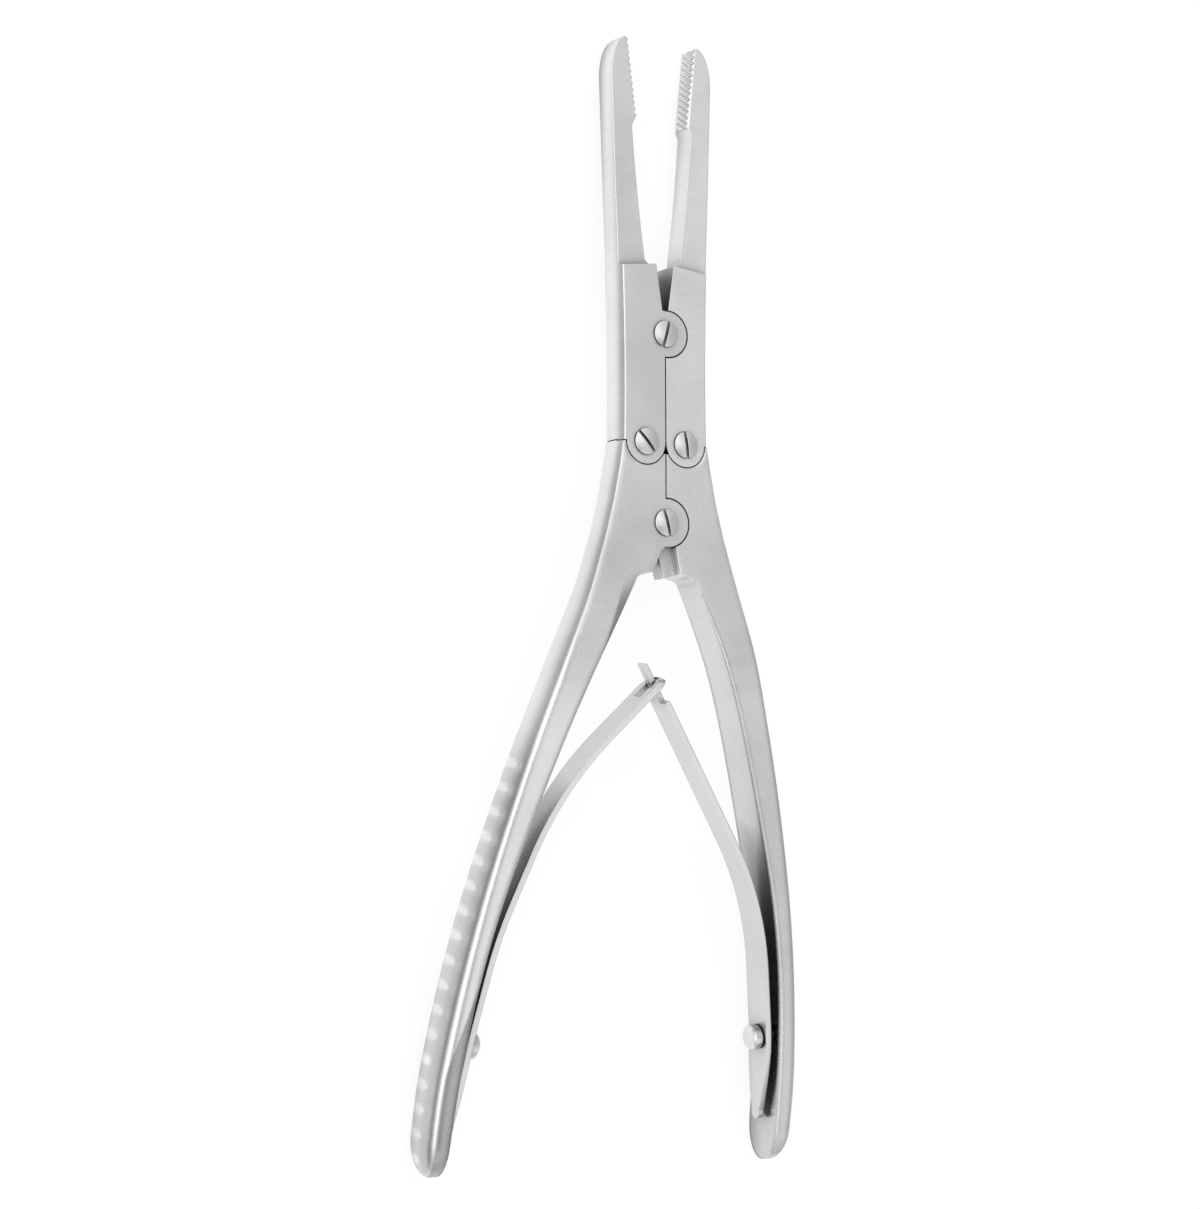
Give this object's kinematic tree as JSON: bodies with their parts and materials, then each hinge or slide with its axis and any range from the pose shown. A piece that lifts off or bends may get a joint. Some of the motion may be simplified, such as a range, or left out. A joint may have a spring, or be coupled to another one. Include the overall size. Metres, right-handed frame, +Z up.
{
  "type": "cartilage morselizer forceps",
  "caption": "Double action forceps with toothed crushing jaws, bent grooved handles and interlocking leaf springs.",
  "frame": {"origin": "centre of the instrument's footprint on the table it lies on, at the height of the table", "axes": "+Y towards the jaw tips, +X towards the right hand arms seen from above, +Z up from the table"},
  "size_m": [0.076, 0.2012, 0.0161],
  "materials": {
    "jaw_steel": "satin",
    "handle_steel": "satin",
    "screw_steel": "bright satin",
    "spring_steel": "satin"
  },
  "bodies": {
    "left_handle": {"left_handle": "handle_steel", "rear_pivot_screw": "screw_steel", "left_spring_screw": "screw_steel"},
    "right_handle": {"right_handle": "handle_steel", "right_spring_screw": "screw_steel"},
    "left_jaw": {"left_jaw": "jaw_steel", "front_pivot_screw": "screw_steel", "left_mid_screw": "screw_steel"},
    "right_jaw": {"right_jaw": "jaw_steel", "right_mid_screw": "screw_steel"},
    "left_spring": {"left_spring": "spring_steel"},
    "right_spring": {"right_spring": "spring_steel"}
  },
  "joints": [
    {"name": "handle_squeeze", "type": "hinge", "parent": "left_handle", "child": "right_handle", "pos_m": [0, 0.01394, 0.01113], "axis": [0, -0.1026, -0.9947], "range_deg": [0, 20.08], "stiffness_Nm_per_rad": 0.35, "springref_deg": -14.32},
    {"name": "left_jaw_pivot", "type": "hinge", "parent": "left_handle", "child": "left_jaw", "pos_m": [-0.0041, 0.02802, 0.00968], "axis": [0, -0.1026, -0.9947], "range_deg": [0, 17.29]},
    {"name": "right_jaw_pivot", "type": "hinge", "parent": "right_handle", "child": "right_jaw", "pos_m": [0.0041, 0.02802, 0.00968], "axis": [0, 0.1026, 0.9947], "range_deg": [0, 17.29]},
    {"name": "left_spring_flex", "type": "hinge", "parent": "left_handle", "child": "left_spring", "pos_m": [-0.0311, -0.07761, 0.00606], "axis": [0, -0.0978, 0.9952], "range_deg": [0, 3.35]},
    {"name": "right_spring_flex", "type": "hinge", "parent": "right_handle", "child": "right_spring", "pos_m": [0.0311, -0.07761, 0.00606], "axis": [0, 0.0978, -0.9952], "range_deg": [0, 3.35]}
  ],
  "couplings": [
    {"joint": "left_jaw_pivot", "follows": "handle_squeeze", "ratio": 0.8585},
    {"joint": "right_jaw_pivot", "follows": "handle_squeeze", "ratio": 0.8585},
    {"joint": "left_spring_flex", "follows": "handle_squeeze", "ratio": 0.16431},
    {"joint": "right_spring_flex", "follows": "handle_squeeze", "ratio": 0.16431}
  ]
}
